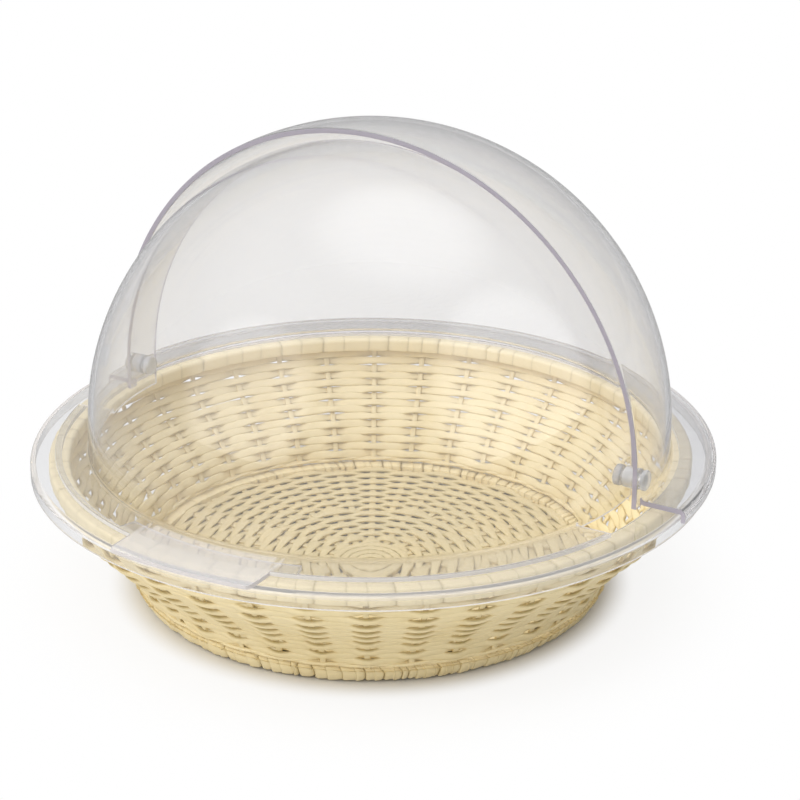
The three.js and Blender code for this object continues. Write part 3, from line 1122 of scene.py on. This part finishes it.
def floor_finish(name, colour, azimuth):
    """Pale floor that keeps a soft shadow near the bin and fades to white away from it, later
    behind the bin, where the shadow falls. The cover mirrors it in grey."""
    finish = Finish(name)
    place = finish.place()
    behind = finish.along(place, (-math.sin(azimuth), math.cos(azimuth), 0.0))
    spread = finish.vector("LENGTH", place, output="Value")
    shade_stretch = 0.42
    deep = reckon("MAXIMUM", behind, 0.0) * shade_stretch + reckon("MINIMUM", behind, 0.0)
    away = reckon("SQRT", spread * spread - behind * behind + deep * deep)
    near, far = finish.between(away, 0.134, 0.158), finish.between(away, 0.15, 0.24)
    faded = 0.86 * near + 0.14 * far
    grain = finish.noise(place, 30.0)
    painted = finish.surface(
        base_color=finish.mix(grain * 0.2, rgba(colour), rgba(colour, 0.985)),
        roughness=0.7 + 0.1 * grain,
        specular=0.2,
    )
    mirrored = finish.ray("Glossy") * (1 - finish.ray("Transmission"))
    tone = finish.mix(mirrored, rgba(WHITE), rgba(WHITE, 0.5))
    white = finish.node("Emission", None, {"Color": tone, "Strength": 1.0})
    return finish.show(finish.blend(faded * finish.ray(*VIEWED), painted, white))


def studio_light(stage):
    """Soft light from all round, more from above and from the front left. What the cover mirrors
    is grey walls, a white ceiling with a soft lamp, and a pale panel on each side of the camera.
    Straight through the cover, as past it, all is white."""
    finish = Finish("studio", "world")
    ray = finish.place("Generated")

    def sky(colour, strength):
        inputs = {"Color": rgba(colour), "Strength": strength}
        return finish.node("Background", None, inputs)

    def more(first, direction, low, high, strength, colour=WHITE):
        """Brightens the sky toward a direction, from the cosine low on and in full at high."""
        share = finish.between(finish.along(ray, direction), low, high)
        patch = finish.blend(share, sky(colour, 0.0), sky(colour, strength))
        return finish.node("AddShader", None, {0: first, 1: patch})

    lit = more(sky(WARM, stage.room), HIGH_BEHIND, 0.4, 1.0, stage.overhead, WARM)
    lit = more(lit, FRONT_LEFT, 0.35, 0.95, stage.side, WARM)
    seen = more(sky(WHITE, stage.backdrop), ABOVE, 0.4, 0.9, 1.0 - stage.backdrop)
    seen = more(seen, HIGH_BEHIND, 0.84, 0.99, stage.gleam - 1.0)
    seen = more(seen, LEFT_PANEL, 0.86, 0.93, stage.panels)
    seen = more(seen, RIGHT_PANEL, 0.76, 0.88, stage.panels)
    bounces = finish.node("LightPath", output="Glossy Depth")
    seen = finish.blend(reckon("LESS_THAN", bounces, 0.5), seen, sky(WHITE, 1.0))
    return finish.show(finish.blend(finish.ray(*VIEWED), lit, seen))


@functools.cache
def finish_called(name):
    """Makes a finish when it is first asked for."""
    colours, stage = bpy.context.scene.bread_bin_finishes, bpy.context.scene.bread_bin_stage
    wide_grain, rim_grain = (240.0, 26.0, 1.0), (1500.0, 4.0, 1.0)
    # Painted shade for the rim's grooves: a darker honey.
    groove_shade = [0.6 * part for part in colours.honey]
    maker, *settings = {
        "woven_strand": (strand_finish, colours.cream, colours.honey, colours.gap_shade, wide_grain),
        "base_strand": (strand_finish, colours.shaded, colours.honey, colours.gap_shade, wide_grain),
        "rim_strand": (strand_finish, colours.pale, colours.cream, groove_shade, rim_grain),
        "clear_sheet": (clear_finish, colours),
        "pivot_plastic": (milky_finish, colours.milky),
        "steel_wire": (steel_finish, colours.steel),
        "pale_floor": (floor_finish, colours.ground, stage.azimuth),
    }[name]
    return maker(name, *settings)


# Operators


class BREADBIN_OT_wall(bpy.types.Operator):
    """Raises the stakes and weaves the strands round them"""

    bl_idname = "bread_bin.wall"
    bl_label = "Weave the wall"

    def execute(self, context):
        sizes = context.scene.bread_bin_basket
        wall = Wall()
        sway = Drift(30, 0.5 * MM)
        for row, node in enumerate(WEAVERS):
            strand = weave_round(sizes, wall, row, sway)
            smooth(strand, 60)
            finished(strand, "basket", "woven_strand", node)
        stakes = join([raise_stakes(sizes, wall), *base_hoop(wall)], "upright_stakes")
        smooth(stakes, 50)
        finished(stakes, "basket", "woven_strand", "basket_stakes")
        return {"FINISHED"}


class BREADBIN_OT_base(bpy.types.Operator):
    """Weaves the base and folds the border that the basket stands on"""

    bl_idname = "bread_bin.base"
    bl_label = "Weave the base and foot"

    def execute(self, context):
        sizes = context.scene.bread_bin_basket
        base = join(weave_base(sizes), "woven_base")
        smooth(base, 50)
        # The base gets the darker copy of the strand finish: painted shade.
        finished(base, "basket", "woven_strand", "basket_base_panel", "base_strand")
        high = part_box("basket_foot_border")[1]
        border_wide = 9.5 * MM
        inner = high.x - border_wide
        outline = rounded([
            (high.x - 0.1 * MM, 7.0 * MM, 2.5 * MM),
            (high.x - 0.4 * MM, high.z, 2.2 * MM),
            (inner, high.z, 1.5 * MM),
            (inner, 0, 1.5 * MM),
            (high.x - 4.5 * MM, 0, 2.5 * MM),
        ])
        foot = wound(
            "foot_border", outline, sizes.foot_turns, seed=7, unevenness=0.45,
            grooves=(0.5 * MM, 0.9 * MM, 1.4 * MM, 2.4 * MM), lap=0.8 * MM, slant=1.2 * MM,
        )
        smooth(foot, 50)
        finished(foot, "basket", "woven_strand", "basket_foot_border")
        return {"FINISHED"}


class BREADBIN_OT_rim(bpy.types.Operator):
    """Winds the flat strand round the rim"""

    bl_idname = "bread_bin.rim"
    bl_label = "Wind the rim"

    def execute(self, context):
        sizes = context.scene.bread_bin_basket
        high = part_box("basket_rim_wrap")[1]
        inner, low = high.x - sizes.rim_wide, high.z - sizes.rim_deep
        outline = rounded([
            (high.x, low, 1.8 * MM),
            (high.x, high.z, 2.4 * MM),
            (inner, high.z, 2.4 * MM),
            (inner, low, 1.8 * MM),
        ])
        rim = wound(
            "rim_winding", outline, sizes.rim_turns, seed=11, unevenness=0.35,
            grooves=(0.25 * MM, 0.45 * MM, 0.9 * MM), lap=0.25 * MM, slant=0.5 * MM,
        )
        smooth(rim, 50)
        finished(rim, "basket", "rim_strand", "basket_rim_wrap")
        coat(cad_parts["basket_rim_hoop"], "steel_wire")
        return {"FINISHED"}


class BREADBIN_OT_cover(bpy.types.Operator):
    """Forms the ring and the fixed rear dome"""

    bl_idname = "bread_bin.cover"
    bl_label = "Form the ring and dome"

    def execute(self, context):
        sizes = context.scene.bread_bin_cover
        finished(form_ring(sizes), "cover", "clear_sheet", "cover_ring")
        finished(form_rear_dome(sizes), "cover", "clear_sheet", "cover_rear_dome")
        return {"FINISHED"}


class BREADBIN_OT_lid(bpy.types.Operator):
    """Forms the rolling lid with its flange and grip"""

    bl_idname = "bread_bin.lid"
    bl_label = "Form the lid"

    def execute(self, context):
        sizes = context.scene.bread_bin_cover
        finished(form_lid(sizes), "lid", "clear_sheet", "lid_shell")
        return {"FINISHED"}


class BREADBIN_OT_pivots(bpy.types.Operator):
    """Turns the pins, spacers and caps that the lid rolls on"""

    bl_idname = "bread_bin.pivots"
    bl_label = "Turn the pivots"

    def execute(self, context):
        pivot = context.scene.bread_bin_cover.pivot_height
        makers = {"pin": turn_pin, "spacer": turn_spacer, "cap": turn_cap}
        for side in ("right", "left"):
            for part, make in makers.items():
                piece = make(side, pivot)
                if side == "left":
                    turned(piece, math.pi)
                finished(piece, "cover", "pivot_plastic", f"pivot_{part}_{side}")
        return {"FINISHED"}


class BREADBIN_OT_stage(bpy.types.Operator):
    """Sets the floor, the soft light and the camera"""

    bl_idname = "bread_bin.stage"
    bl_label = "Set the stage"

    def execute(self, context):
        stage = context.scene.bread_bin_stage
        self.floor()
        self.key_light(context, stage.key_power)
        context.scene.world = studio_light(stage)
        self.camera(context, stage)
        return {"FINISHED"}

    def floor(self):
        let_go()
        bpy.ops.mesh.primitive_circle_add(
            vertices=96, radius=20.0, fill_type="NGON", location=(0, 0, -0.2 * MM)
        )
        floor = named("floor")
        settle(floor)
        coat(floor, "pale_floor")

    def key_light(self, context, power):
        """A soft lamp at the front left, which the cover doesn't mirror."""
        lamp = bpy.data.lights.new("key", "AREA")
        lamp.shape, lamp.size, lamp.energy = "SQUARE", 0.6, power
        key = bpy.data.objects.new("key", lamp)
        context.scene.collection.objects.link(key)
        key.location = (-0.35, -0.95, 1.25)
        aim = Vector((0, 0, 0.05))
        key.rotation_euler = (aim - key.location).to_track_quat("-Z", "Y").to_euler()
        key.visible_glossy = key.visible_transmission = False

    def camera(self, context, stage):
        lens = bpy.data.cameras.new("camera")
        lens.lens = stage.lens
        lens.sensor_width = 36.0
        lens.shift_x = 0.02875
        lens.clip_start, lens.clip_end = 0.05, 30.0
        camera = bpy.data.objects.new("camera", lens)
        context.scene.collection.objects.link(camera)
        across, rise = stage.azimuth, stage.elevation
        flat = math.cos(rise)
        back = Vector((math.sin(across) * flat, -math.cos(across) * flat, math.sin(rise)))
        aim = Vector((3.23, 1.91, 111.64)) * MM
        camera.location = aim + back * stage.distance
        camera.rotation_euler = back.to_track_quat("Z", "Y").to_euler()
        context.scene.camera = camera
        context.scene.view_settings.view_transform = "Standard"


class BREADBIN_PT_panel(bpy.types.Panel):
    bl_label = "Bread bin"
    bl_idname = "BREADBIN_PT_panel"
    bl_space_type = "VIEW_3D"
    bl_region_type = "UI"
    bl_category = "Bread bin"

    def draw(self, context):
        for operator in OPERATORS:
            self.layout.operator(operator.bl_idname)
        for name in GROUPS:
            group = getattr(context.scene, name)
            for key in group.__annotations__:
                self.layout.prop(group, key)


GROUPS = {
    "bread_bin_basket": BasketSizes,
    "bread_bin_cover": CoverSizes,
    "bread_bin_finishes": Finishes,
    "bread_bin_stage": StageSettings,
}
OPERATORS = [
    BREADBIN_OT_wall,
    BREADBIN_OT_base,
    BREADBIN_OT_rim,
    BREADBIN_OT_cover,
    BREADBIN_OT_lid,
    BREADBIN_OT_pivots,
    BREADBIN_OT_stage,
]


def register():
    for group in GROUPS.values():
        bpy.utils.register_class(group)
    for name, group in GROUPS.items():
        setattr(bpy.types.Scene, name, bpy.props.PointerProperty(type=group))
    for item in [*OPERATORS, BREADBIN_PT_panel]:
        bpy.utils.register_class(item)


def unregister():
    for item in reversed([*OPERATORS, BREADBIN_PT_panel]):
        bpy.utils.unregister_class(item)
    for name in GROUPS:
        delattr(bpy.types.Scene, name)
    for group in GROUPS.values():
        bpy.utils.unregister_class(group)


def main():
    register()
    bpy.ops.bread_bin.wall()
    bpy.ops.bread_bin.base()
    bpy.ops.bread_bin.rim()
    bpy.ops.bread_bin.cover()
    bpy.ops.bread_bin.lid()
    bpy.ops.bread_bin.pivots()
    bpy.ops.bread_bin.stage()


if __name__ == "__main__":
    main()
